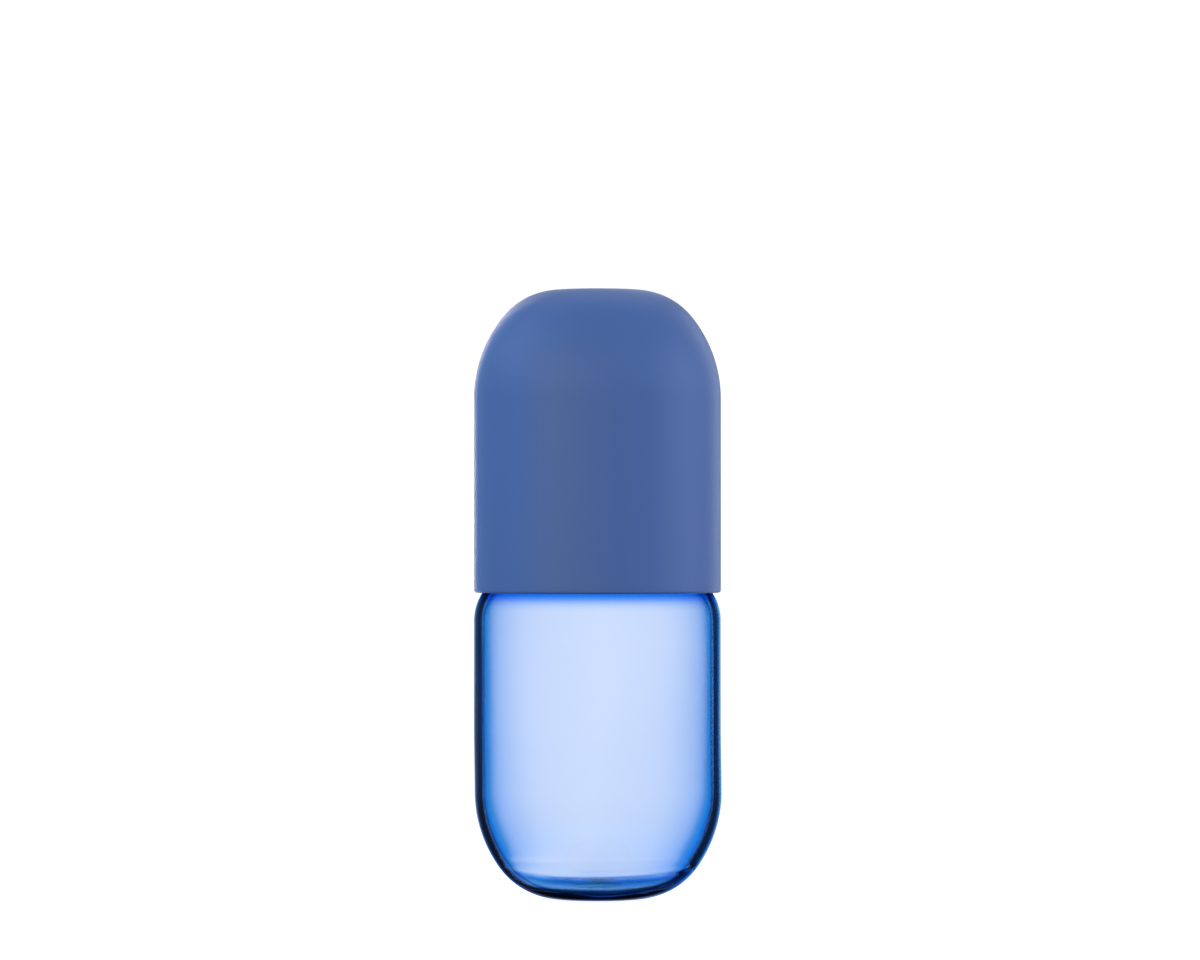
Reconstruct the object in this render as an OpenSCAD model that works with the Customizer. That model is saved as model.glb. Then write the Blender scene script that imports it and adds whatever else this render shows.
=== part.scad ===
// Capsule bottle: a glass lower half, a push-in stopper in its neck, and a tall
// cap of the same outline over the top half. Millimetres, +Z up, with the origin
// at the centre of the foot.

/* [Capsule] */
// Outer diameter of the glass and of the cap
body_d = 84; // [80:1:88]
// Height of the closed bottle, from foot to crown
total_h = 207; // [200:1:216]
// Height of the cap's rim above the foot
rim_z = 104; // [100:1:108]
// Radius of the large arc that rounds the glass's lower end
dome_r = 44; // [43:0.5:46]
// Slope at which that arc hands over to the foot's small one, in degrees
dome_turn = 54; // [50:1:58]
// Radius of the large arc that rounds the cap's crown
crown_r = 44.5; // [43:0.5:46]
// Slope at which that arc hands over to the crown's small one, in degrees
crown_turn = 51; // [50:1:58]
// Radius of the flat at each end
flat_r = 13; // [11:0.5:14]

/* [Glass] */
// Thickness of the glass wall
glass_t = 2.7; // [2.6:0.1:3.4]
// Thickness of the glass under the inside floor
floor_t = 3; // [2.8:0.1:4.5]
// Outer radius of the shoulder's curve
shoulder_r = 17; // [16:0.5:18]
// Depth below the cap's rim at which the shoulder starts
shoulder_drop = 9.5; // [8:0.5:11]
// Outer radius of the neck
neck_r = 20; // [19:0.5:20.5]
// Height of the lip above the cap's rim
neck_h = 34; // [32:1:38]
// Height of the hollow under the foot
punt_h = 0.8; // [0.5:0.1:1.2]

/* [Cap] */
// Thickness of the cap's wall
cap_t = 2.8; // [2.7:0.1:3]
// Radius of the rounding along the cap's rim
cap_edge_r = 0.9; // [0.6:0.1:1.2]

/* [Collar] */
// Width of the gap between the collar and the cap
collar_gap = 0.9; // [0.7:0.1:1.2]
// Thickness of the collar's web
web_t = 2.4; // [2:0.2:3]
// Number of ribs on the collar's web
rib_n = 12; // [6:1:18]
// Diameter of the collar ring's cord
cord_d = 3; // [2.6:0.1:3.2]

/* [Stopper] */
// Height of the stopper's grip above its seal
grip_h = 15; // [13:0.5:18]
// Largest radius of the stopper's grip
grip_r = 19; // [17:0.5:20]
// Length of the stopper's seal inside the neck
plug_h = 19; // [17:0.5:20]
// Number of ribs round the seal
seal_rib_n = 3; // [2:1:4]
// Height that each rib of the seal stands out
seal_rib_h = 1.3; // [1:0.1:1.6]
// Radius of the grip's spigot, which the seal slides over
spigot_r = 9; // [8:0.5:10]
// Diameter of the stopper's screw
screw_d = 4; // [3.5:0.5:5]

/* [Hidden] */
$fn = 96;

run_gap = 0.05;             // radial clearance of each running fit
seat_gap = 0.05;            // clearance between faces that rest on each other
body_r = body_d / 2;
foot_ring_w = 4.5;          // width of the flat ring that the bottle stands on

shoulder_z = rim_z - shoulder_drop;
shoulder_c = body_r - shoulder_r;
neck_fillet_r = shoulder_c - neck_r;
neck_z = shoulder_z + shoulder_r + neck_fillet_r;
bore_r = neck_r - glass_t;
lip_z = rim_z + neck_h;
lip_r = glass_t / 2;
bead_r = 0.9;               // the neck's bead, which the collar snaps under
bead_out = 0.5;

cap_in_r = body_r - cap_t;

collar_in_r = neck_r + run_gap;
collar_out_r = cap_in_r - collar_gap;
collar_z = neck_z + 0.6;    // underside of the collar's web
hub_t = 2.6;
hub_top = collar_z + 9;
bead_z = hub_top + seat_gap + sqrt(pow(bead_r, 2) - pow(bead_r - bead_out, 2));
band_t = 4.2;
band_low = collar_z - 4.6;
band_top = collar_z + 5.4;
rib_t = 1.6;
rib_h = 4;
cord_r = cord_d / 2;
cord_c = cap_in_r - run_gap - cord_r;   // radius of the collar ring's centre line
cord_z = (band_low + band_top) / 2;

seal_t = 1.6;               // thickness of the seal's flange, on the lip
seal_low = lip_z - plug_h;
seal_top = lip_z + seat_gap + seal_t;
seal_rib_r = bore_r - run_gap;
seal_body_r = seal_rib_r - seal_rib_h;
rib_pitch = plug_h / (seal_rib_n + 0.5);
grip_z = seal_top + seat_gap;
grip_top = grip_z + grip_h;
waist_in = 2.6;             // depth of the grip's waist
base_h = 3.6;
base_r = seal_body_r - 0.4;
base_z = seal_low - seat_gap - base_h;
screw_r = screw_d / 2;
head_r = screw_r * 1.9;
head_h = head_r - screw_r;  // a 90 degree countersunk head
screw_l = 14;
socket_r = screw_r * 0.72;

// Points of an arc about c, where slope 0 is its lowest point and 90 its outermost.
function arc(c, r, from, to, steps = 14) = [
    for (i = [0 : steps])
        let (s = from + (to - from) * i / steps)
        [c[0] + r * sin(s), c[1] - r * cos(s)]
];

// A list of points the other way round.
function reversed(points) = [for (i = [len(points) - 1 : -1 : 0]) points[i]];

// Points turned upside down, so that the foot's level becomes the crown's.
function flipped(points) = [for (p = points) [p[0], total_h - p[1]]];

// Radius of the small arc that joins a large arc r, which ends at slope turn, to the flat.
function edge_r(r, turn) = (body_r - r + r * sin(turn) - flat_r) / sin(turn);

// Height at which an end's large arc meets the straight wall.
function end_h(r, turn) = r * cos(turn) + edge_r(r, turn) * (1 - cos(turn));

// One end of the capsule, from its flat to its wall, moved inwards by inset.
function end_curve(r, turn, inset = 0) = concat(
    arc([flat_r, edge_r(r, turn)], edge_r(r, turn) - inset, 0, turn),
    arc([body_r - r, end_h(r, turn)], r - inset, turn, 90)
);

// The foot: a flat ring with a shallow hollow inside it.
foot_in_r = flat_r - foot_ring_w;
punt_r = (pow(foot_in_r, 2) + pow(punt_h, 2)) / (2 * punt_h);
punt_slope = asin(foot_in_r / punt_r);
foot_curve = arc([0, punt_h - punt_r], punt_r, 180, 180 - punt_slope, 6);

// The glass from the shoulder's start to the neck, moved inwards by inset.
function shoulder_curve(inset = 0) = concat(
    arc([shoulder_c, shoulder_z], shoulder_r - inset, 90, 180),
    arc([shoulder_c, neck_z], neck_fillet_r + inset, 0, -90, 8)
);

bead_half = acos((bead_r - bead_out) / bead_r);
bead_curve = arc([neck_r + bead_out - bead_r, bead_z], bead_r, 90 - bead_half, 90 + bead_half, 8);
lip_curve = arc([neck_r - lip_r, lip_z - lip_r], lip_r, 90, 270, 12);

// The inside floor: an arc from the wall's inner curve down to the flat floor.
dome_h = end_h(dome_r, dome_turn);
floor_join = [
    body_r - dome_r + (dome_r - glass_t) * sin(dome_turn),
    dome_h - (dome_r - glass_t) * cos(dome_turn)
];
floor_r = (floor_join[1] - floor_t) / (1 - cos(dome_turn));
floor_c = [floor_join[0] - floor_r * sin(dome_turn), floor_t + floor_r];
inside_curve = concat(
    arc(floor_c, floor_r, 0, dome_turn),
    arc([body_r - dome_r, dome_h], dome_r - glass_t, dome_turn, 90),
    shoulder_curve(glass_t)
);

module glass_bottle() {
    color([0.28, 0.52, 0.92, 0.45])
        rotate_extrude()
            polygon(concat(
                foot_curve,
                end_curve(dome_r, dome_turn),
                shoulder_curve(),
                bead_curve,
                lip_curve,
                reversed(inside_curve),
                [[0, floor_t]]
            ));
}

// A snap-on ring that centres the cap on the neck and carries the collar ring.
module neck_collar() {
    color([0.86, 0.89, 0.94])
        difference() {
            union() {
                collar_web();
                for (i = [0 : rib_n - 1])
                    rotate([0, 0, i * 360 / rib_n])
                        collar_rib();
            }
            translate([0, 0, cord_z])
                rotate_extrude()
                    translate([cord_c, 0])
                        circle(r = cord_r);
        }
}

// The collar's hub, web and outer band as one turned section.
module collar_web() {
    hub_out = collar_in_r + hub_t;
    band_in = collar_out_r - band_t;
    rotate_extrude()
        polygon([
            [collar_in_r, collar_z],
            [band_in - 1, collar_z],
            [band_in, band_low],
            [collar_out_r - 0.8, band_low],
            [collar_out_r, band_low + 0.8],
            [collar_out_r, band_top - 0.8],
            [collar_out_r - 0.8, band_top],
            [band_in, band_top],
            [band_in, collar_z + web_t],
            [hub_out, collar_z + web_t],
            [hub_out, hub_top - 0.6],
            [hub_out - 0.6, hub_top],
            [collar_in_r, hub_top]
        ]);
}

module collar_rib() {
    hub_mid = collar_in_r + hub_t / 2;
    band_mid = collar_out_r - band_t / 2;
    translate([hub_mid, -rib_t / 2, collar_z + web_t / 2])
        cube([band_mid - hub_mid - 1, rib_t, web_t / 2 + rib_h - 1]);
}

// The elastic ring in the collar's groove, which grips the cap.
module collar_ring() {
    color([0.93, 0.95, 0.98])
        translate([0, 0, cord_z])
            rotate_extrude()
                translate([cord_c, 0])
                    circle(r = cord_r);
}

module outer_cap() {
    rim_c = rim_z + cap_edge_r;
    color([0.30, 0.40, 0.62])
        rotate_extrude()
            polygon(concat(
                [[0, total_h]],
                flipped(end_curve(crown_r, crown_turn)),
                reversed(arc([body_r - cap_edge_r, rim_c], cap_edge_r, 0, 90, 6)),
                arc([cap_in_r + cap_edge_r, rim_c], cap_edge_r, 0, -90, 6),
                reversed(flipped(end_curve(crown_r, crown_turn, cap_t))),
                [[0, total_h - cap_t]]
            ));
}

// The grip's turned outline, waisted so that fingers hold it.
grip_edge_r = 2.2;
waist_h = grip_h - 2 * grip_edge_r;
waist_r = (pow(waist_h / 2, 2) + pow(waist_in, 2)) / (2 * waist_in);
waist_half = asin(waist_h / 2 / waist_r);
grip_curve = concat(
    arc([grip_r - grip_edge_r, grip_z + grip_edge_r], grip_edge_r, 0, 90, 6),
    arc([grip_r - waist_in + waist_r, grip_z + grip_h / 2], waist_r,
        -90 + waist_half, -90 - waist_half, 10),
    arc([grip_r - grip_edge_r, grip_top - grip_edge_r], grip_edge_r, 90, 180, 6)
);
grip_dish = 1.2;            // depth of the shallow dish in the grip's top
grip_dish_w = 11;
dish_r = (pow(grip_dish_w, 2) + pow(grip_dish, 2)) / (2 * grip_dish);
dish_half = asin(grip_dish_w / dish_r);
dish_curve = arc([0, grip_top - grip_dish + dish_r], dish_r, dish_half, 0, 6);

module stopper_grip() {
    color([0.30, 0.40, 0.62])
        difference() {
            rotate_extrude()
                polygon(concat(
                    [[0, seal_low], [spigot_r, seal_low], [spigot_r, grip_z]],
                    grip_curve,
                    dish_curve
                ));
            translate([0, 0, base_z + head_h])
                cylinder(r = screw_r, h = screw_l + 1);
        }
}

// The seal: a sleeve with ribs inside the neck and a flange on the lip.
module stopper_seal() {
    flange_r = neck_r - 0.6;
    flange_edge_r = seal_t / 2;
    color([0.90, 0.93, 0.97])
        difference() {
            union() {
                translate([0, 0, seal_low])
                    cylinder(r = seal_body_r, h = seal_top - seal_low);
                for (i = [0 : seal_rib_n - 1])
                    translate([0, 0, seal_low + rib_pitch * (i + 0.75)])
                        seal_rib();
                rotate_extrude()
                    polygon(concat(
                        [[spigot_r + 1, seal_top - seal_t]],
                        arc([flange_r - flange_edge_r, seal_top - flange_edge_r],
                            flange_edge_r, 0, 180, 8),
                        [[spigot_r + 1, seal_top]]
                    ));
            }
            translate([0, 0, seal_low - 1])
                cylinder(r = spigot_r + run_gap, h = plug_h + seal_t + 3);
        }
}

// One rib of the seal, thinner at its edge than at its root.
module seal_rib() {
    rib_root = 1.7;
    rib_tip = 0.6;
    rotate_extrude()
        polygon([
            [seal_body_r - 1, -rib_root],
            [seal_body_r, -rib_root],
            [seal_rib_r, -rib_tip],
            [seal_rib_r, rib_tip],
            [seal_body_r, rib_root],
            [seal_body_r - 1, rib_root]
        ]);
}

// The disc that holds the seal on the spigot.
module stopper_base() {
    base_edge = 1;
    color([0.30, 0.40, 0.62])
        difference() {
            rotate_extrude()
                polygon([
                    [0, base_z],
                    [base_r - base_edge, base_z],
                    [base_r, base_z + base_edge],
                    [base_r, base_z + base_h],
                    [0, base_z + base_h]
                ]);
            translate([0, 0, base_z - 1])
                cylinder(r = screw_r + run_gap, h = base_h + 2);
            translate([0, 0, base_z])
                cylinder(r1 = head_r + run_gap, r2 = screw_r + run_gap, h = head_h);
        }
}

module stopper_screw() {
    socket_h = head_h * 0.8;
    color([0.78, 0.79, 0.80])
        difference() {
            union() {
                translate([0, 0, base_z])
                    cylinder(r1 = head_r, r2 = screw_r, h = head_h);
                translate([0, 0, base_z + head_h])
                    cylinder(r = screw_r - 0.02, h = screw_l);
            }
            translate([0, 0, base_z - 1])
                cylinder(r = socket_r, h = socket_h + 1, $fn = 6);
        }
}

glass_bottle();
neck_collar();
collar_ring();
outer_cap();
stopper_grip();
stopper_seal();
stopper_base();
stopper_screw();
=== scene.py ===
"""Looks for the capsule bottle: blue blown glass, a soft matte cap, and a silicone-sealed stopper.

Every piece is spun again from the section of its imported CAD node, finer and with its sharp edges
softened, so that its size and place come from the frame. The collar's ribs and the screw's socket
are then joined to it or cut out of it.
"""

import math
from collections import defaultdict

import bmesh
import bpy
import numpy as np
from mathutils import Matrix, Vector


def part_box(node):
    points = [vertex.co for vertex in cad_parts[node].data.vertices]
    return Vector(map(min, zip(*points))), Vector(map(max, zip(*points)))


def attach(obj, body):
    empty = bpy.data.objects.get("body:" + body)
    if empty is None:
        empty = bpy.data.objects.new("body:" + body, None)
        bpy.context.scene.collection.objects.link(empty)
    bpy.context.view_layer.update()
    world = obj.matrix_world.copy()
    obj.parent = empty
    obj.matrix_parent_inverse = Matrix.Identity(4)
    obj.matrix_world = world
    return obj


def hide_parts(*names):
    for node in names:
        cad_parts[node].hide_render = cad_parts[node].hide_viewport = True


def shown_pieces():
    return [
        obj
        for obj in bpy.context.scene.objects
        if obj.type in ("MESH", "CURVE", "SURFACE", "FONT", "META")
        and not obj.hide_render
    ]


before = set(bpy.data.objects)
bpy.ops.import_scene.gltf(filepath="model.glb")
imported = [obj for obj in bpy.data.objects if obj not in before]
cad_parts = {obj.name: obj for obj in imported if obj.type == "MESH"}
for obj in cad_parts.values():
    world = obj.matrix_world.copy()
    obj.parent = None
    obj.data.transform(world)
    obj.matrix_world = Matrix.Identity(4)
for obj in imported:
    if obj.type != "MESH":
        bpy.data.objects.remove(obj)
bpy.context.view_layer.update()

MM = 0.001
SEGMENTS = 192              # steps round a spun piece
EDGE_R = 0.25 * MM          # to which sharp edges are softened, unless a piece says otherwise
RING_GRID = 0.004 * MM      # points of a CAD mesh nearer than about this are one ring
CUT_GRID = 0.002 * MM       # and points of a cut through it nearer than this are one point
SHARP = 18.0                # turns of an outline above this many degrees are corners
STRAIGHT = 0.3              # and a line within this many degrees of both its tangents is straight
FAR_LONGER = 2.5            # a line this many times longer than the next one gives its direction
CORNER_STEPS = 5            # round each softened corner
CORNER_ROOM = 0.45          # the most of the shorter line next to a corner that it takes
CREASE = math.radians(32)   # edges of a combined piece above this stay sharp


# ---------------------------------------------------------------- sections of turned CAD nodes

def node_rings(node):
    """The rings of a turned node as (radius, height) points, and which rings share a face."""
    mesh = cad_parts[node].data
    keys = {}
    ring_of = []
    for vertex in mesh.vertices:
        radius = math.hypot(vertex.co.x, vertex.co.y)
        key = (round(radius / RING_GRID), round(vertex.co.z / RING_GRID))
        near = next(
            (
                keys[(key[0] + i, key[1] + j)]
                for i in (0, -1, 1)
                for j in (0, -1, 1)
                if (key[0] + i, key[1] + j) in keys
            ),
            None,
        )
        if near is None:
            near = keys[key] = (radius, vertex.co.z)
        ring_of.append(near)
    links = defaultdict(set)
    for face in mesh.polygons:
        rings = {ring_of[i] for i in face.vertices}
        for ring in rings:
            links[ring] |= rings - {ring}
    return links


def section(node):
    """A turned node's outline as (radius, height) points in metres, in order along the outline.

    It is open when it starts and ends on the axis, and closed when the piece has a hole.
    """
    links = node_rings(node)
    ends = sorted((ring for ring in links if len(links[ring]) == 1), key=lambda ring: ring[1])
    here = ends[0] if ends else min(links, key=lambda ring: (ring[1], ring[0]))
    outline = [here]
    seen = {here}
    while True:
        onward = [ring for ring in links[here] if ring not in seen]
        if not onward:
            break
        here = max(onward, key=lambda ring: ring[0]) if len(outline) == 1 else onward[0]
        outline.append(here)
        seen.add(here)
    if ends:
        if outline[0][0] > 1e-5:
            outline.insert(0, (0.0, outline[0][1]))
        if outline[-1][0] > 1e-5:
            outline.append((0.0, outline[-1][1]))
    return [Vector(point) for point in outline], not ends


def sliced(node, angle):
    """The outline of the cut through a node at an angle about the axis, in order, as for section().

    It is closed, or open when it ends on the axis.
    """
    bm = bmesh.new()
    bm.from_mesh(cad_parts[node].data)
    bmesh.ops.remove_doubles(bm, verts=bm.verts, dist=CUT_GRID)
    side = Vector((-math.sin(angle), math.cos(angle), 0))
    out = Vector((math.cos(angle), math.sin(angle), 0))
    whole = bm.verts[:] + bm.edges[:] + bm.faces[:]
    cut = bmesh.ops.bisect_plane(bm, geom=whole, plane_co=(0, 0, 0), plane_no=side)["geom_cut"]
    links = defaultdict(set)
    for edge in (item for item in cut if isinstance(item, bmesh.types.BMEdge)):
        a, b = [
            (round(v.co.dot(out) / CUT_GRID), round(v.co.z / CUT_GRID)) for v in edge.verts
        ]
        if a != b and min(a[0], b[0]) >= 0:
            links[a].add(b)
            links[b].add(a)
    bm.free()
    ends = sorted((point for point in links if len(links[point]) == 1), key=lambda point: point[1])
    here = ends[0] if ends else min(links)
    loop = [here]
    seen = {here}
    while True:
        onward = [point for point in links[here] if point not in seen]
        if not onward:
            break
        here = onward[0]
        loop.append(here)
        seen.add(here)
    points = [Vector(point) * CUT_GRID for point in loop]
    return without_flat_points(points, not ends), not ends


def without_flat_points(points, closed, flat=2 * CUT_GRID):
    """The outline without the points that lie on the line between their neighbours."""
    kept = list(points)
    i = 0
    while i < len(kept):
        before, after = kept[i - 1], kept[(i + 1) % len(kept)]
        inner = closed or 0 < i < len(kept) - 1
        line = after - before
        if inner and abs(line.cross(kept[i] - before)) < flat * line.length:
            del kept[i]
            i = max(0, i - 1)
        else:
            i += 1
    return kept


def turn_between(a, b):
    """The angle between two directions, in degrees."""
    if a.length < 1e-9 or b.length < 1e-9:
        return 0.0
    return math.degrees(a.angle(b))


def softened(points, closed, radius):
    """The outline with each corner rounded to about `radius`: its points, and if a corner's."""
    out = []
    count = len(points)
    for i, point in enumerate(points):
        if not closed and i in (0, count - 1):
            out.append((point, False))
            continue
        before = points[i - 1] - point
        after = points[(i + 1) % count] - point
        angle = turn_between(-before, after)
        if angle < SHARP:
            out.append((point, False))
            continue
        room = min(before.length, after.length) * CORNER_ROOM
        reach = min(radius * math.tan(math.radians(angle) / 2), room)
        start = point + before.normalized() * reach
        stop = point + after.normalized() * reach
        for k in range(CORNER_STEPS + 1):
            t = k / CORNER_STEPS
            out.append((start * (1 - t) ** 2 + point * 2 * t * (1 - t) + stop * t * t, True))
    return out


def smoothed(points, closed, radius=EDGE_R, longest=2.2 * MM, fine=0.55 * MM):
    """The outline drawn finely, with softened corners, smooth curves and straight runs.

    A step is at most `longest` on a straight run and `fine` on a curve.
    """
    marked = softened(points, closed, radius)
    pts = [p for p, _ in marked]
    corner = [c for _, c in marked]
    count = len(pts)
    spans = count if closed else count - 1

    def chord(i):
        return pts[(i + 1) % count] - pts[i % count]

    def tangent(i):
        if not closed and i == 0:
            return Vector((1, 0)) if pts[0].x < 1e-6 else chord(0).normalized()
        if not closed and i == count - 1:
            return Vector((-1, 0)) if pts[-1].x < 1e-6 else chord(count - 2).normalized()
        a, b = chord((i - 1) % count), chord(i)
        if corner[i] or turn_between(a, b) > SHARP:
            return None
        if a.length > FAR_LONGER * b.length:
            return a.normalized()
        if b.length > FAR_LONGER * a.length:
            return b.normalized()
        return (a.normalized() / a.length + b.normalized() / b.length).normalized()

    tangents = [tangent(i) for i in range(count)]
    out = []
    for i in range(spans):
        j = (i + 1) % count
        p, q, line = pts[i], pts[j], chord(i)
        out.append(p)
        ta = tangents[i] or line.normalized()
        tb = tangents[j] or line.normalized()
        straight = max(turn_between(ta, line), turn_between(tb, line)) < STRAIGHT
        steps = max(1, math.ceil(line.length / (longest if straight else fine)))
        for k in range(1, steps):
            t = k / steps
            h = (2 * t**3 - 3 * t**2 + 1, t**3 - 2 * t**2 + t, 3 * t**2 - 2 * t**3, t**3 - t**2)
            out.append(p * h[0] + ta * line.length * h[1] + q * h[2] + tb * line.length * h[3])
    if not closed:
        out.append(pts[-1])
    return out


# ---------------------------------------------------------------- meshes

def linked(mesh, name):
    obj = bpy.data.objects.new(name, mesh)
    bpy.context.scene.collection.objects.link(obj)
    return obj


def spun(points, closed, name, segments=SEGMENTS, vary=None):
    """A mesh turned about the Z axis from an outline.

    vary(index, point, angle) may give a small change of radius and height for one point.
    """
    verts, rings = [], []
    for i, point in enumerate(points):
        if point.x < 1e-6:
            rings.append([len(verts)])
            dz = vary(i, point, 0.0)[1] if vary else 0.0
            verts.append((0.0, 0.0, point.y + dz))
            continue
        rings.append(list(range(len(verts), len(verts) + segments)))
        for k in range(segments):
            a = 2 * math.pi * k / segments
            dr, dz = vary(i, point, a) if vary else (0.0, 0.0)
            r = point.x + dr
            verts.append((r * math.cos(a), r * math.sin(a), point.y + dz))
    faces = []
    pairs = list(zip(rings, rings[1:])) + ([(rings[-1], rings[0])] if closed else [])
    for low, high in pairs:
        for k in range(segments):
            n = (k + 1) % segments
            if len(low) == 1 and len(high) > 1:
                faces.append((low[0], high[n], high[k]))
            elif len(high) == 1 and len(low) > 1:
                faces.append((low[k], low[n], high[0]))
            elif len(low) > 1:
                faces.append((low[k], low[n], high[n], high[k]))
    mesh = bpy.data.meshes.new(name)
    mesh.from_pydata(verts, [], faces)
    bm = bmesh.new()
    bm.from_mesh(mesh)
    bmesh.ops.recalc_face_normals(bm, faces=bm.faces)
    bm.to_mesh(mesh)
    bm.free()
    mesh.shade_smooth()
    return linked(mesh, name)


def dressed(piece, node, body, material):
    """The finished piece, which stands for a CAD node and moves with its body."""
    piece.data.materials.clear()
    piece.data.materials.append(material)
    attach(piece, body)
    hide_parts(node)
    return piece


def respun(node, name, body, material, radius=EDGE_R, unevenness=None):
    """A finer mesh that stands for a turned CAD node, with its edges softened.

    unevenness(points) may give the function that varies the spun points.
    """
    outline, closed = section(node)
    points = smoothed(outline, closed, radius)
    piece = spun(points, closed, name, vary=unevenness(points) if unevenness else None)
    return dressed(piece, node, body, material)


def combined(piece, tool, operation):
    """The piece with the tool added or cut away. The tool's own object is used up."""
    step = piece.modifiers.new("combine", "BOOLEAN")
    step.operation = operation
    step.solver = "EXACT"
    step.object = tool
    bpy.context.view_layer.update()
    graph = bpy.context.evaluated_depsgraph_get()
    result = bpy.data.meshes.new_from_object(piece.evaluated_get(graph))
    piece.modifiers.clear()
    piece.data = result
    bpy.data.objects.remove(tool)
    result.shade_smooth()
    result.set_sharp_from_angle(angle=CREASE)
    return piece


def rounded_bars(name, count, low, high, edge):
    """Bars with rounded edges, spread evenly about the axis.

    low and high are the corners of the first one.
    """
    bm = bmesh.new()
    for i in range(count):
        bar = bmesh.ops.create_cube(bm, size=1.0)["verts"]
        for vert in bar:
            for axis in range(3):
                vert.co[axis] = high[axis] if vert.co[axis] > 0 else low[axis]
        edges = list({e for vert in bar for e in vert.link_edges})
        result = bmesh.ops.bevel(
            bm, geom=edges, offset=edge, segments=3, profile=0.5, affect="EDGES",
        )
        turned = list({v for face in result["faces"] for v in face.verts})
        turn = Matrix.Rotation(2 * math.pi * i / count, 4, "Z")
        bmesh.ops.transform(bm, matrix=turn, verts=turned)
    mesh = bpy.data.meshes.new(name)
    bm.to_mesh(mesh)
    bm.free()
    return linked(mesh, name)


def prism(name, radius, low, high, sides=6):
    """An upright prism about the axis, with a corner towards +X."""
    bm = bmesh.new()
    middle = Matrix.Translation((0, 0, (low + high) / 2))
    bmesh.ops.create_cone(
        bm, cap_ends=True, segments=sides, radius1=radius, radius2=radius, depth=high - low,
        matrix=middle @ Matrix.Rotation(math.pi / sides, 4, "Z"),
    )
    mesh = bpy.data.meshes.new(name)
    bm.to_mesh(mesh)
    bm.free()
    return linked(mesh, name)


# ---------------------------------------------------------------- materials

CLEAR = (1, 1, 1, 1)        # no tint
DEEP_GLASS = (0.07, 0.39, 0.92, 1)  # towards which the glass darkens with its thickness
ABSORPTION = 100.0          # how strongly it darkens, per metre
THROUGH_GLASS = (0.62, 0.78, 0.98, 1)       # tint of the rays that pass straight through the glass


def new_material(name):
    material = bpy.data.materials.new(name)
    material.use_nodes = True
    material.node_tree.nodes.clear()
    return material, material.node_tree.nodes, material.node_tree.links


# Painted shade on the glass by how edge-on the camera sees it, for camera rays only: 0 is face-on
# and 1 is the outline.
# The last stops differ between the camera's left and its right, where the glass's rim has a
# brighter painted highlight.
EDGE_PAINTED_SHADE = [
    (0.000, (1.0, 1.0, 1.0, 1)),
    (0.530, (1.0, 1.0, 1.0, 1)),
    (0.570, (0.80, 0.87, 0.90, 1)),
    (0.585, (0.60, 0.80, 0.84, 1)),
    (0.605, (0.20, 0.44, 0.47, 1)),
    (0.625, (0.25, 0.55, 0.70, 1)),
    (0.645, (0.50, 0.85, 1.0, 1)),
]
LEFT_SHADE_AND_HIGHLIGHT = EDGE_PAINTED_SHADE + [
    (0.700, (0.70, 0.36, 0.25, 1)),
    (0.720, (0.70, 0.26, 0.17, 1)),
    (0.800, (0.75, 0.20, 0.13, 1)),
    (0.900, (0.70, 0.40, 0.38, 1)),
    (1.000, (0.85, 0.80, 0.90, 1)),
]
RIGHT_SHADE_AND_HIGHLIGHT = EDGE_PAINTED_SHADE + [
    (0.700, (0.60, 0.45, 0.34, 1)),
    (0.720, (0.55, 0.36, 0.28, 1)),
    (0.780, (0.60, 0.34, 0.28, 1)),
    (0.850, (1.0, 0.75, 0.65, 1)),
    (1.000, (1.0, 0.95, 0.95, 1)),
]
# How far the surface faces to the camera's right, where the left's tint starts to turn into the
# right's, and where it has.
LEFT_TO_RIGHT = (-0.4, 0.4)
# Sines of the camera's elevation where this tint starts to fade, and where it has gone.
STEEP = (0.45, 0.75)

# Painted shade on the glass round the shoulder, by height in millimetres, for camera rays only.
SHOULDER_PAINTED_SHADE = [
    (98.0, (1.0, 1.0, 1.0, 1)),
    (99.5, (0.88, 0.94, 1.0, 1)),
    (100.9, (0.60, 0.73, 0.99, 1)),
    (102.2, (0.20, 0.43, 0.97, 1)),
    (103.3, (0.02, 0.27, 0.90, 1)),
    (105.0, (0.02, 0.22, 0.88, 1)),
    (114.0, (0.45, 0.70, 1.0, 1)),
]
# Painted shade on the glass round the heel, by height in millimetres, for camera rays only: rings
# of deeper and lighter shade like the bands that the heel's refraction shows.
HEEL_PAINTED_SHADE = [
    (-1.1, (0.05, 0.40, 0.80, 1)),
    (0.3, (0.06, 0.40, 0.60, 1)),
    (1.0, (0.06, 0.25, 0.50, 1)),
    (1.7, (0.06, 0.45, 1.0, 1)),
    (2.5, (0.60, 0.95, 1.0, 1)),
    (3.4, (0.25, 0.75, 0.90, 1)),
    (4.2, (0.80, 1.0, 1.0, 1)),
    (5.0, (0.28, 0.80, 1.0, 1)),
    (5.9, (0.10, 0.55, 0.85, 1)),
    (6.8, (0.08, 0.32, 0.60, 1)),
    (7.6, (0.10, 0.48, 0.92, 1)),
    (8.5, (0.62, 0.85, 1.0, 1)),
    (9.4, (0.90, 0.95, 0.97, 1)),
    (10.5, (1.0, 1.0, 1.0, 1)),
]
HEEL_RISE = 5.0 * MM        # how much higher the heel's rings look edge-on than face-on
HEEL_FACE = 0.25            # how edge-on the front of the heel looks
HEEL_OUTLINE_SHADE = (0.40, 0.58, 0.95, 1)        # painted shade of the heel's outline in place of its rings
HEEL_LOW = (6 * MM, 14 * MM)        # heights where that tint starts to fade, and ends
HEEL_TURN = (0.52, 0.68)            # how edge-on the surface is where it takes over from the rings

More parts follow.
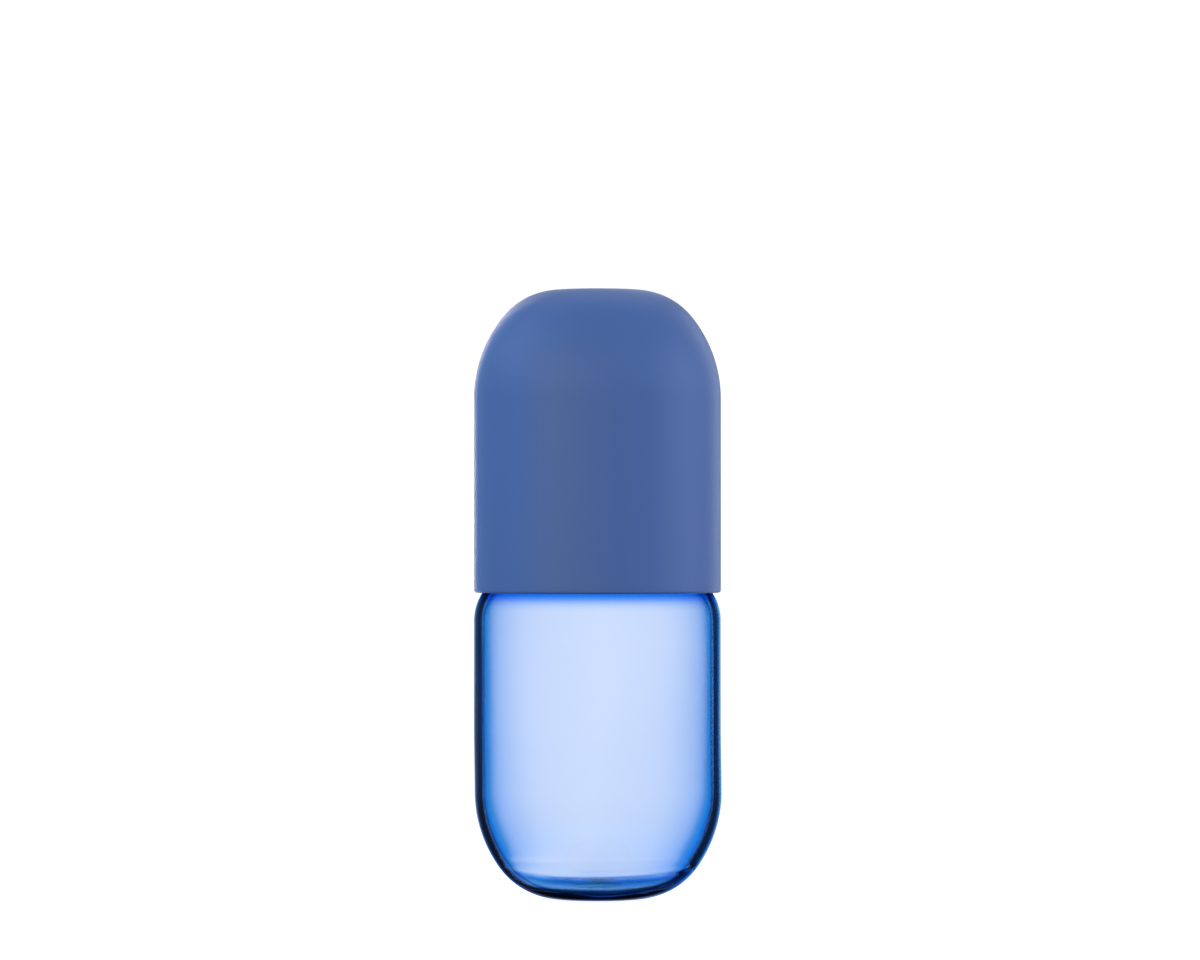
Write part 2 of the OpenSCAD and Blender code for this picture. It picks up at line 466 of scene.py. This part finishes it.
# Painted shadow on every ray that isn't the camera's, by height in millimetres above the foot: the
# floor's shade under the bottle.
FOOT_PAINTED_SHADOW = [
    (0.0, (0.10, 0.35, 0.75, 1)),
    (0.9, (0.30, 0.55, 0.90, 1)),
    (1.8, (0.50, 0.72, 0.95, 1)),
    (2.8, (1.0, 1.0, 1.0, 1)),
]


def height(nodes, links):
    coords = nodes.new("ShaderNodeTexCoord")
    split = nodes.new("ShaderNodeSeparateXYZ")
    links.new(coords.outputs["Object"], split.inputs[0])
    return split.outputs["Z"]


def height_tint(nodes, links, z, stops):
    """The colour at height z in a table of heights in millimetres."""
    low, high = stops[0][0], stops[-1][0]
    share = mapped(nodes, links, z, low * MM, high * MM)
    ramp = ramped(
        nodes, links, share,
        [((z - low) / (high - low), colour) for z, colour in stops],
    )
    return ramp.outputs["Color"]


def mixed(nodes, links, factor, a, b, blend="MIX"):
    """Colour a carried to b by factor, or multiplied by b. A number or tuple may stand for each."""
    node = nodes.new("ShaderNodeMix")
    node.data_type = "RGBA"
    node.blend_type = blend
    for socket, value in (("Factor", factor), ("A", a), ("B", b)):
        if isinstance(value, (int, float, tuple)):
            node.inputs[socket].default_value = value
        else:
            links.new(value, node.inputs[socket])
    return node.outputs["Result"]


def blown_glass():
    """Blue glass that darkens with its thickness, with painted shade at its outline, heel and
    shoulder and a painted highlight on its rim, for the camera.

    Shadow rays and diffuse rays pass straight through it, tinted. Other rays get a painted shadow
    near the foot.
    """
    material, nodes, links = new_material("blue_glass")
    out = nodes.new("ShaderNodeOutputMaterial")
    glass = nodes.new("ShaderNodeBsdfGlass")
    glass.inputs["Roughness"].default_value = 0.0
    glass.inputs["IOR"].default_value = 1.5
    path = nodes.new("ShaderNodeLightPath")
    weight = nodes.new("ShaderNodeLayerWeight")
    weight.inputs["Blend"].default_value = 0.5
    facing = weight.outputs["Facing"]
    z = height(nodes, links)
    # Painted shade in rings round the heel, which rise as the glass is seen more edge-on.
    rise = math_node(nodes, links, "SUBTRACT", facing, HEEL_FACE)
    rise = math_node(nodes, links, "MULTIPLY", rise, HEEL_RISE)
    heel = height_tint(nodes, links, math_node(nodes, links, "SUBTRACT", z, rise), HEEL_PAINTED_SHADE)
    outline = mixed(nodes, links, mapped(nodes, links, z, *HEEL_LOW), HEEL_OUTLINE_SHADE, CLEAR)
    heel = mixed(nodes, links, mapped(nodes, links, facing, *HEEL_TURN), heel, outline)
    sight = nodes.new("ShaderNodeNewGeometry")
    across = nodes.new("ShaderNodeVectorTransform")
    across.vector_type = "NORMAL"
    across.convert_from = "WORLD"
    across.convert_to = "CAMERA"
    links.new(sight.outputs["Normal"], across.inputs[0])
    side = nodes.new("ShaderNodeSeparateXYZ")
    links.new(across.outputs[0], side.inputs[0])
    # Painted shade at the glass's outline, with a painted highlight on its rim, fading out as the
    # camera looks down more steeply.
    edge = mixed(
        nodes, links, mapped(nodes, links, side.outputs["X"], *LEFT_TO_RIGHT),
        ramped(nodes, links, facing, LEFT_SHADE_AND_HIGHLIGHT).outputs["Color"],
        ramped(nodes, links, facing, RIGHT_SHADE_AND_HIGHLIGHT).outputs["Color"],
    )
    slope = nodes.new("ShaderNodeSeparateXYZ")
    links.new(sight.outputs["Incoming"], slope.inputs[0])
    steep = mapped(nodes, links, slope.outputs["Z"], *STEEP)
    edge = mixed(nodes, links, steep, edge, CLEAR)
    seen = mixed(nodes, links, 1.0, edge, heel, "MULTIPLY")
    # Painted shade round the shoulder.
    seen = mixed(nodes, links, 1.0, seen, height_tint(nodes, links, z, SHOULDER_PAINTED_SHADE), "MULTIPLY")
    # Painted shadow near the foot, for every ray but the camera's.
    foot = height_tint(nodes, links, z, FOOT_PAINTED_SHADOW)
    tint = mixed(nodes, links, path.outputs["Is Camera Ray"], foot, seen)
    links.new(tint, glass.inputs["Color"])
    clear = nodes.new("ShaderNodeBsdfTransparent")
    clear.inputs["Color"].default_value = THROUGH_GLASS
    either = math_node(
        nodes, links, "MAXIMUM", path.outputs["Is Shadow Ray"], path.outputs["Is Diffuse Ray"],
    )
    mix = nodes.new("ShaderNodeMixShader")
    absorb = nodes.new("ShaderNodeVolumeAbsorption")
    absorb.inputs["Color"].default_value = DEEP_GLASS
    absorb.inputs["Density"].default_value = ABSORPTION
    links.new(either, mix.inputs["Fac"])
    links.new(glass.outputs[0], mix.inputs[1])
    links.new(clear.outputs[0], mix.inputs[2])
    links.new(mix.outputs[0], out.inputs["Surface"])
    links.new(absorb.outputs[0], out.inputs["Volume"])
    return material


def noise(nodes, links, scale, detail=3.0, rough=0.55):
    coords = nodes.new("ShaderNodeTexCoord")
    texture = nodes.new("ShaderNodeTexNoise")
    texture.inputs["Scale"].default_value = scale
    texture.inputs["Detail"].default_value = detail
    texture.inputs["Roughness"].default_value = rough
    links.new(coords.outputs["Object"], texture.inputs["Vector"])
    return texture


def ramped(nodes, links, source, stops):
    ramp = nodes.new("ShaderNodeValToRGB")
    elements = ramp.color_ramp.elements
    while len(elements) < len(stops):
        elements.new(0.5)
    for element, (place, colour) in zip(elements, stops):
        element.position = place
        element.color = colour
    links.new(source, ramp.inputs["Fac"])
    return ramp


def math_node(nodes, links, operation, *values):
    node = nodes.new("ShaderNodeMath")
    node.operation = operation
    for i, value in enumerate(values):
        if isinstance(value, (int, float)):
            node.inputs[i].default_value = value
        else:
            links.new(value, node.inputs[i])
    return node.outputs[0]


def mapped(nodes, links, source, start, stop, low=0.0, high=1.0):
    """source's value carried from the range start..stop to low..high, and held at the ends."""
    node = nodes.new("ShaderNodeMapRange")
    node.inputs["From Min"].default_value = start
    node.inputs["From Max"].default_value = stop
    node.inputs["To Min"].default_value = low
    node.inputs["To Max"].default_value = high
    links.new(source, node.inputs["Value"])
    return node.outputs["Result"]


def moulded_plastic(name, colour, roughness, grain=0.00002, sheen=0.25, spread=0.02):
    """Moulded plastic with a fine spark-eroded grain, a little sheen and slight colour drift."""
    material, nodes, links = new_material(name)
    out = nodes.new("ShaderNodeOutputMaterial")
    bsdf = nodes.new("ShaderNodeBsdfPrincipled")
    drift = noise(nodes, links, 14.0, 2.0)
    low = tuple(c * (1 - spread) for c in colour) + (1,)
    high = tuple(min(1, c * (1 + spread)) for c in colour) + (1,)
    tint = ramped(nodes, links, drift.outputs["Fac"], [(0.3, low), (0.7, high)])
    links.new(tint.outputs["Color"], bsdf.inputs["Base Color"])
    rub = noise(nodes, links, 60.0, 4.0).outputs["Fac"]
    gloss = mapped(nodes, links, rub, 0.0, 1.0, roughness - 0.04, roughness + 0.05)
    links.new(gloss, bsdf.inputs["Roughness"])
    bsdf.inputs["Sheen Weight"].default_value = sheen
    bsdf.inputs["Sheen Roughness"].default_value = 0.4
    bsdf.inputs["Sheen Tint"].default_value = (0.75, 0.82, 1.0, 1)
    pits = noise(nodes, links, 5200.0, 2.0)
    bump = nodes.new("ShaderNodeBump")
    bump.inputs["Strength"].default_value = 0.25
    bump.inputs["Distance"].default_value = grain
    links.new(pits.outputs["Fac"], bump.inputs["Height"])
    links.new(bump.outputs["Normal"], bsdf.inputs["Normal"])
    links.new(bsdf.outputs[0], out.inputs["Surface"])
    return material


def silicone():
    """Milky, slightly see-through silicone with a soft shine."""
    material, nodes, links = new_material("silicone")
    out = nodes.new("ShaderNodeOutputMaterial")
    bsdf = nodes.new("ShaderNodeBsdfPrincipled")
    cloud = noise(nodes, links, 45.0, 2.0)
    tint = ramped(
        nodes, links, cloud.outputs["Fac"],
        [(0.3, (0.78, 0.84, 0.90, 1)), (0.7, (0.86, 0.90, 0.95, 1))],
    )
    links.new(tint.outputs["Color"], bsdf.inputs["Base Color"])
    bsdf.inputs["Roughness"].default_value = 0.34
    bsdf.inputs["Subsurface Weight"].default_value = 0.6
    bsdf.inputs["Subsurface Radius"].default_value = (0.9, 1.0, 1.2)
    bsdf.inputs["Subsurface Scale"].default_value = 0.003
    bsdf.inputs["Specular IOR Level"].default_value = 0.42
    links.new(bsdf.outputs[0], out.inputs["Surface"])
    return material


def stainless():
    """Turned stainless steel, a little uneven in its shine."""
    material, nodes, links = new_material("steel")
    out = nodes.new("ShaderNodeOutputMaterial")
    bsdf = nodes.new("ShaderNodeBsdfPrincipled")
    bsdf.inputs["Base Color"].default_value = (0.62, 0.63, 0.64, 1)
    bsdf.inputs["Metallic"].default_value = 1.0
    bsdf.inputs["Anisotropic"].default_value = 0.5
    marks = noise(nodes, links, 900.0, 3.0).outputs["Fac"]
    links.new(mapped(nodes, links, marks, 0.0, 1.0, 0.2, 0.34), bsdf.inputs["Roughness"])
    links.new(bsdf.outputs[0], out.inputs["Surface"])
    return material


# ---------------------------------------------------------------- the pieces

CAP_BLUE = (0.056, 0.119, 0.325)
glass = blown_glass()
cap_plastic = moulded_plastic("cap_plastic", CAP_BLUE, 0.46)
grip_plastic = moulded_plastic("grip_plastic", CAP_BLUE, 0.44)
collar_plastic = moulded_plastic("collar_plastic", (0.62, 0.70, 0.82), 0.38, sheen=0.0)
rubber = silicone()
steel = stainless()

glass_low, glass_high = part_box("glass_bottle")
glass_r = glass_high.x
rim_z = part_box("outer_cap")[0].z

LEAN = 0.27 * MM            # how far the bottle's lower end leans to its right
LEAN_Z = 60 * MM            # height below which it leans
LEAN_H = 28 * MM            # and over how much height the lean sets in
FOOT_LEAN = 0.7             # share of the lean at the foot
FOOT_H = 1.5 * MM           # height up to which the glass is the foot
WALL_FADE = 30 * MM         # how far below the collar the wall's unevenness is there in full
WAVE = 0.03 * MM            # of the wall's inside
THIN_WALL = 0.15 * MM       # how much thinner the wall is than in CAD
THIN_SIDE = 0.25 * MM       # how much thinner its right wall is at the shoulder than halfway down
EVEN_TOP = 3.7 * MM         # how far above the cap's rim the shoulder's wall stops being even
EVEN_FADE = 2.7 * MM        # and over how much height it does so
FLOOR_WAVE = 0.05 * MM
FLOOR_TILT = 0.25 * MM      # how much higher the floor's right edge is than its middle
FLOOR_UP = 13 * MM          # how far up the floor's unevenness reaches
CALM_R = 8 * MM             # nearer the axis than this, the inside is more even
THIN_HEEL = 0.45 * MM       # how far the inside of the left heel sinks towards the outside
RIGHT_HEEL = 0.3            # share of that on the right
HEEL_AT = 0.62              # where it sinks the most, as a share of the glass's radius
HEEL_WIDTH = 0.16           # and how wide that is, as another
HEEL_TOP = 0.2              # where it stops sinking, as a share of the height of the cap's rim
HEEL_FADE = 0.12            # and over how much height it does so, as another
SETTLE_Z = 11.2 * MM        # height of the low ring that the settling glass left inside the heel,
SETTLE_WOBBLE = 1.2 * MM    # how far it goes up and down round the heel,
SETTLE_W = 0.7 * MM         # how wide it is,
SETTLE_H = 0.05 * MM        # and how far it stands from the surface


def smoothstep(t):
    """0 for t below 0, 1 for t above 1, and a smooth rise between."""
    t = min(1.0, max(0.0, t))
    return t * t * (3 - 2 * t)


def blown(points):
    """The small unevenness of blown glass.

    The lower part leans slightly to one side. Inside, the wall is a little thinner than in CAD
    and has gentle waves, and so has the floor. The glass is thinner still at the shoulder and at
    the left heel, and a low ring runs round the heel.
    """
    lip = max(range(len(points)), key=lambda i: points[i].y)
    neck_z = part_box("neck_collar")[0].z
    outer = [p for p in points[: lip + 1] if rim_z / 2 < p.y < neck_z]
    outer_z, outer_r = [p.y for p in outer], [p.x for p in outer]
    middle = min(points[lip + 1 :], key=lambda p: abs(p.y - rim_z / 2))
    wall_t = glass_r - middle.x

    def thinning(point):
        """How far the shoulder's inside moves outwards, so that its wall is evenly wide across."""
        even = np.interp(point.y, outer_z, outer_r) - wall_t
        fade = smoothstep((rim_z + EVEN_TOP - point.y) / EVEN_FADE)
        return max(0.0, even - point.x) * fade if rim_z / 2 < point.y else 0.0

    def vary(i, point, a):
        lean = LEAN * smoothstep((LEAN_Z - point.y) / LEAN_H) * math.cos(a)
        if point.y < FOOT_H:
            lean *= FOOT_LEAN
        if i <= lip:
            return lean, 0.0
        wall = smoothstep((neck_z - point.y) / WALL_FADE)
        low = math.exp(-(((point.y - glass_low.z) / FLOOR_UP) ** 2))
        spread = min(1.0, point.x / CALM_R)
        wave = math.sin(3 * a + 40 * point.y) + 0.6 * math.sin(5 * a - 70 * point.y)
        thin_side = THIN_SIDE * max(0.0, math.cos(a)) * (point.y / (rim_z / 2) - 1)
        dr = wall * (WAVE * wave + THIN_WALL + thin_side)
        wave = math.sin(2 * a + 0.7 + 180 * point.x) + 0.5 * math.sin(5 * a + 260 * point.x)
        dz = low * (FLOOR_WAVE * spread * wave + FLOOR_TILT * point.x * math.cos(a) / glass_r)
        heel = THIN_HEEL * (max(0.0, -math.cos(a)) + RIGHT_HEEL * max(0.0, math.cos(a)))
        heel *= math.exp(-(((point.x / glass_r - HEEL_AT) / HEEL_WIDTH) ** 2))
        heel *= smoothstep((HEEL_TOP * rim_z - point.y) / (HEEL_FADE * rim_z))
        crest = SETTLE_Z + SETTLE_WOBBLE * math.cos(2 * a + 0.1)
        heel += SETTLE_H * math.exp(-(((point.y - crest) / SETTLE_W) ** 2))
        dr += heel
        dz -= heel
        return lean + dr * spread + thinning(point), dz

    return vary


bottle = respun(
    "glass_bottle", "blown_glass_bottle", "bottle", glass, unevenness=blown,
)
respun("outer_cap", "matte_cap", "cap", cap_plastic, radius=0.12 * MM)
respun("stopper_grip", "stopper_knob", "stopper", grip_plastic)
respun("stopper_seal", "ribbed_seal", "stopper", rubber)
respun("stopper_base", "seal_retainer", "stopper", grip_plastic)
respun("collar_ring", "grip_ring", "bottle", rubber)

RIBS = 12                   # on the collar's web
RIB_T = 1.6 * MM
RIB_DROP = 0.3 * MM         # how far the ribs' tops are below the band's
RIB_ROOT = 1.3 * MM         # how far outside the hub's bore the ribs start, inside its wall
RIB_TIP = 3.1 * MM          # and how far inside the band's outside they end
RIB_SINK = 1.2 * MM         # how far above the web's underside they start, inside the web
SOCKET_R = 1.44 * MM        # from the middle of the screw's hexagonal socket to its corners
SOCKET_H = 1.44 * MM


def ribbed_collar():
    """The collar's web, hub and grooved band, and its ribs."""
    outline, closed = sliced("neck_collar", math.pi / RIBS)
    piece = spun(smoothed(outline, closed, 0.3 * MM), closed, "ribbed_collar")
    hub_r = min(p.x for p in outline)
    band_r = max(p.x for p in outline)
    web_low = min(p.y for p in outline if p.x < hub_r + 1 * MM)
    band_top = max(p.y for p in outline if p.x > (hub_r + band_r) / 2)
    ribs = rounded_bars(
        "ribs", RIBS,
        (hub_r + RIB_ROOT, -RIB_T / 2, web_low + RIB_SINK),
        (band_r - RIB_TIP, RIB_T / 2, band_top - RIB_DROP),
        0.3 * MM,
    )
    piece = combined(piece, ribs, "UNION")
    return dressed(piece, "neck_collar", "bottle", collar_plastic)


def socket_screw():
    """The stopper's countersunk screw, which is plain where the grip hides it."""
    low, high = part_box("stopper_screw")
    outline, _ = sliced("stopper_screw", 0.0)
    shank_r = max(p.x for p in outline if p.y > (low.z + high.z) / 2)
    turned = [
        Vector(point)
        for point in (
            (0, low.z), (high.x, low.z), (shank_r, low.z + high.x - shank_r),
            (shank_r, high.z), (0, high.z),
        )
    ]
    piece = spun(smoothed(turned, False, 0.12 * MM), False, "socket_screw", segments=96)
    piece = combined(piece, prism("socket", SOCKET_R, low.z - MM, low.z + SOCKET_H), "DIFFERENCE")
    return dressed(piece, "stopper_screw", "stopper", steel)


ribbed_collar()
socket_screw()


# ---------------------------------------------------------------- stage, light and camera

CAMERA_D = 1.8              # from the bottle's axis to the camera, in metres
RIM_DEG = 0.8               # how far above the cap's rim the camera looks down on it
VIEW_W = 4.862              # width of the view at the bottle's axis, in bottle widths
AIM_UP = 38.3 * MM          # how far above the cap's rim the camera aims
AIM_RIGHT = 0.87 * MM       # and how far to the right of the bottle's axis
WHITE = 1.05                # strength of the plain white behind the object, as the camera sees it

# Colour of the studio by the angle across from straight behind the bottle, in degrees.
STUDIO_ACROSS = [
    (0.0, (1.16, 1.17, 1.20)),
    (2.6, (1.08, 1.13, 1.20)),
    (4.7, (0.88, 1.01, 1.21)),
    (8.0, (0.63, 0.88, 1.26)),
    (10.2, (0.37, 0.72, 1.22)),
    (12.0, (0.17, 0.60, 1.12)),
    (14.5, (0.076, 0.59, 1.25)),
    (18.0, (0.02, 0.50, 1.35)),
    (22.0, (0.015, 0.32, 1.15)),
    (26.0, (0.015, 0.12, 0.36)),
    (30.0, (0.022, 0.06, 0.13)),
    (45.0, (0.022, 0.035, 0.07)),
    (70.0, (0.010, 0.015, 0.03)),
    (180.0, (0.05, 0.06, 0.09)),
]
# Share of that colour by the angle above the horizon, in degrees.
STUDIO_UP = [
    (-90.0, (0.01, 0.01, 0.01)),
    (-45.0, (0.015, 0.015, 0.015)),
    (-32.0, (0.03, 0.03, 0.03)),
    (-24.0, (0.23, 0.24, 0.25)),
    (-19.0, (0.62, 0.70, 0.80)),
    (-13.5, (0.75, 0.83, 0.97)),
    (-8.5, (0.87, 0.92, 0.97)),
    (-5.0, (0.90, 0.94, 0.98)),
    (-2.0, (1.00, 1.00, 1.00)),
    (20.0, (1.00, 1.00, 1.00)),
    (35.0, (0.45, 0.45, 0.45)),
    (60.0, (0.30, 0.30, 0.30)),
    (90.0, (0.25, 0.25, 0.25)),
]
# Its plain colour high above and far below, and the degrees from the horizon over which it
# takes over.
STUDIO_ABOVE = (0.02, 0.24, 0.60, 1)
ABOVE_FADE = (20, 34)
STUDIO_BELOW = (0.012, 0.035, 0.09, 1)
BELOW_FADE = (-24, -38)
LOW_NARROWING = 0.075       # how much narrower the bright part is for each degree below LOW_FROM
LOW_FROM = 2.0
LOW_TO = 7.3
ROOM = (0.05, 0.06, 0.08, 1)        # what the matte pieces see around them, besides the softboxes


def stage_world(rig, tilt):
    """Plain white for the camera, a coloured studio for the glass, and a dim room for the rest.

    Angles above the studio's horizon are the rig's own, less tilt, its rise in the main view.
    """
    world = bpy.data.worlds.new("studio")
    bpy.context.scene.world = world
    world.use_nodes = True
    nodes, links = world.node_tree.nodes, world.node_tree.links
    nodes.clear()
    out = nodes.new("ShaderNodeOutputWorld")
    coords = nodes.new("ShaderNodeTexCoord")
    coords.object = rig
    split = nodes.new("ShaderNodeSeparateXYZ")
    links.new(coords.outputs["Object"], split.inputs[0])
    up = math_node(nodes, links, "ARCSINE", split.outputs["Z"])
    up = math_node(nodes, links, "SUBTRACT", up, tilt)
    narrowing = mapped(
        nodes, links, up, -math.radians(LOW_FROM), -math.radians(LOW_TO),
        1.0, 1.0 + LOW_NARROWING * (LOW_TO - LOW_FROM),
    )
    across = math_node(nodes, links, "ARCTAN2", split.outputs["X"], split.outputs["Y"])
    across = math_node(nodes, links, "ABSOLUTE", across)
    across = math_node(nodes, links, "MULTIPLY", across, narrowing)
    across = math_node(nodes, links, "DIVIDE", across, math.pi)
    brightest = max(max(rgb) for _, rgb in STUDIO_ACROSS)
    colour = ramped(
        nodes, links, across,
        [(deg / 180, tuple(c / brightest for c in rgb) + (1,)) for deg, rgb in STUDIO_ACROSS],
    )
    share = ramped(
        nodes, links, mapped(nodes, links, up, -math.pi / 2, math.pi / 2),
        [((deg + 90) / 180, rgb + (1,)) for deg, rgb in STUDIO_UP],
    )
    lit = mixed(nodes, links, 1.0, colour.outputs["Color"], share.outputs["Color"], "MULTIPLY")
    for fade, far_colour in ((ABOVE_FADE, STUDIO_ABOVE), (BELOW_FADE, STUDIO_BELOW)):
        over = mapped(nodes, links, up, math.radians(fade[0]), math.radians(fade[1]))
        lit = mixed(nodes, links, over, lit, far_colour)
    soft = nodes.new("ShaderNodeBackground")
    soft.inputs["Strength"].default_value = brightest
    links.new(lit, soft.inputs["Color"])
    room = nodes.new("ShaderNodeBackground")
    room.inputs["Color"].default_value = ROOM
    plain = nodes.new("ShaderNodeBackground")
    plain.inputs["Color"].default_value = (1, 1, 1, 1)
    plain.inputs["Strength"].default_value = WHITE
    path = nodes.new("ShaderNodeLightPath")
    by_glass = nodes.new("ShaderNodeMixShader")
    links.new(path.outputs["Is Singular Ray"], by_glass.inputs["Fac"])
    links.new(room.outputs[0], by_glass.inputs[1])
    links.new(soft.outputs[0], by_glass.inputs[2])
    mix = nodes.new("ShaderNodeMixShader")
    links.new(path.outputs["Is Camera Ray"], mix.inputs["Fac"])
    links.new(by_glass.outputs[0], mix.inputs[1])
    links.new(plain.outputs[0], mix.inputs[2])
    links.new(mix.outputs[0], out.inputs["Surface"])


def tracking_empty(name, kind):
    """An empty at the origin whose -Y side keeps facing the camera."""
    empty = bpy.data.objects.new(name, None)
    bpy.context.scene.collection.objects.link(empty)
    follow = empty.constraints.new(kind)
    follow.target = camera
    follow.track_axis = "TRACK_NEGATIVE_Y"
    return empty


FLOOR_R = 3.0               # in metres
FLOOR_FADE = (0.12, 0.6)    # distances from the bottle's axis where it starts to fade, and ends
FLOOR_GAP = 0.2 * MM        # how far it lies below the bottle's foot
FLOOR_GREY = (0.5, 0.5, 0.5, 1)
FLOOR_GLOW = 0.88


def stage_floor():
    """A pale floor that fades out round the bottle, and is clear from below."""
    bm = bmesh.new()
    bmesh.ops.create_circle(bm, cap_ends=True, segments=96, radius=FLOOR_R)
    mesh = bpy.data.meshes.new("floor")
    bm.to_mesh(mesh)
    bm.free()
    floor = linked(mesh, "floor")
    floor.location.z = -FLOOR_GAP
    material, nodes, links = new_material("pale_floor")
    out = nodes.new("ShaderNodeOutputMaterial")
    matt = nodes.new("ShaderNodeBsdfDiffuse")
    matt.inputs["Color"].default_value = FLOOR_GREY
    glow = nodes.new("ShaderNodeEmission")
    glow.inputs["Strength"].default_value = FLOOR_GLOW
    lit = nodes.new("ShaderNodeAddShader")
    links.new(matt.outputs[0], lit.inputs[0])
    links.new(glow.outputs[0], lit.inputs[1])
    clear = nodes.new("ShaderNodeBsdfTransparent")
    coords = nodes.new("ShaderNodeTexCoord")
    length = nodes.new("ShaderNodeVectorMath")
    length.operation = "LENGTH"
    links.new(coords.outputs["Object"], length.inputs[0])
    fade = nodes.new("ShaderNodeMapRange")
    fade.interpolation_type = "SMOOTHSTEP"
    fade.inputs["From Min"].default_value, fade.inputs["From Max"].default_value = FLOOR_FADE
    links.new(length.outputs["Value"], fade.inputs["Value"])
    below = nodes.new("ShaderNodeNewGeometry").outputs["Backfacing"]
    unseen = math_node(nodes, links, "MAXIMUM", fade.outputs["Result"], below)
    mix = nodes.new("ShaderNodeMixShader")
    links.new(unseen, mix.inputs["Fac"])
    links.new(lit.outputs[0], mix.inputs[1])
    links.new(clear.outputs[0], mix.inputs[2])
    links.new(mix.outputs[0], out.inputs["Surface"])
    mesh.materials.append(material)
    floor.visible_transmission = False
    floor.visible_glossy = False
    floor.visible_diffuse = False
    return floor


# Colours of the softboxes.
WARM = (1.0, 0.92, 0.90)
PALE = (0.96, 0.98, 1.0)
COOL = (0.80, 0.95, 1.0)
SKY = (0.75, 0.82, 1.0)
DEEP_BLUE = (0.13, 0.47, 1.0)

LIGHT_AIM = Vector((0, 0, 0.1))     # near the bottle's middle

# Name, place in the rig, width and height, power in watts, colour, and whether it shows in
# reflections.
SOFTBOXES = [
    ("front", (0.0, -1.5, 0.5), (1.4, 1.4), 9.0, WARM, False),
    ("fill_left", (-1.0, -1.1, 0.5), (1.2, 1.2), 14.5, PALE, False),
    ("side_right", (1.3, -0.2, 0.4), (1.0, 1.0), 18.5, PALE, False),
    ("upper_left", (-0.9, -0.5, 0.9), (0.7, 0.7), 2.5, COOL, False),
    ("upper_left_side", (-0.9, 0.1, 0.7), (0.5, 0.5), 4.5, COOL, False),
    ("edge_right_near", (1.0, 0.2, 0.25), (0.5, 1.0), 0.7, WARM, True),
    ("edge_right_far", (0.55, 0.8, 0.2), (0.25, 1.0), 1.3, PALE, True),
    ("edge_left", (-0.3, 0.9, 0.2), (0.05, 0.9), 2.2, WARM, True),
    ("edge_left_wide", (-0.55, 0.8, 0.2), (0.25, 1.0), 0.9, DEEP_BLUE, True),
    ("crown", (0.0, 0.5, 1.2), (1.2, 0.6), 1.6, SKY, True),
]


def softbox(rig, name, place, size, power, colour, glossy):
    """A rectangular light that faces the bottle's middle, and lights all but its glass."""
    light = bpy.data.lights.new(name, "AREA")
    light.shape = "RECTANGLE"
    light.size, light.size_y = size
    light.energy = power
    light.color = colour
    obj = bpy.data.objects.new(name, light)
    bpy.context.scene.collection.objects.link(obj)
    obj.parent = rig
    obj.location = place
    aim = LIGHT_AIM - Vector(place)
    obj.rotation_euler = aim.to_track_quat("-Z", "Y").to_euler()
    obj.visible_camera = False
    obj.visible_glossy = glossy
    obj.visible_transmission = False
    obj.light_linking.receiver_collection = lit_pieces
    return obj


def stage_camera():
    """A long-lens view like the photograph's, almost level with the cap's rim."""
    camera = bpy.data.objects.new("camera", bpy.data.cameras.new("camera"))
    bpy.context.scene.collection.objects.link(camera)
    bpy.context.scene.camera = camera
    camera.data.lens = camera.data.sensor_width * CAMERA_D / (VIEW_W * 2 * glass_r)
    camera.location = (0.0, -CAMERA_D, rim_z + CAMERA_D * math.tan(math.radians(RIM_DEG)))
    aim = Vector((AIM_RIGHT, 0, rim_z + AIM_UP)) - camera.location
    camera.rotation_euler = aim.to_track_quat("-Z", "Y").to_euler()
    camera.data.clip_start = 0.01
    return camera


lit_pieces = bpy.data.collections.new("lit_pieces")
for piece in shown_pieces():
    if piece is not bottle:
        lit_pieces.objects.link(piece)

camera = stage_camera()
rig = tracking_empty("light_rig", "LOCKED_TRACK")
rig.constraints[0].lock_axis = "LOCK_Z"
backdrop = tracking_empty("backdrop", "TRACK_TO")
backdrop.constraints[0].up_axis = "UP_Z"
stage_world(backdrop, math.atan2(camera.location.z, CAMERA_D))
lit_pieces.objects.link(stage_floor())
for softbox_row in SOFTBOXES:
    softbox(rig, *softbox_row)

scene = bpy.context.scene
scene.view_settings.view_transform = "Standard"
scene.cycles.use_denoising = True
scene.cycles.max_bounces = 24
scene.cycles.transmission_bounces = 20
scene.cycles.transparent_max_bounces = 24
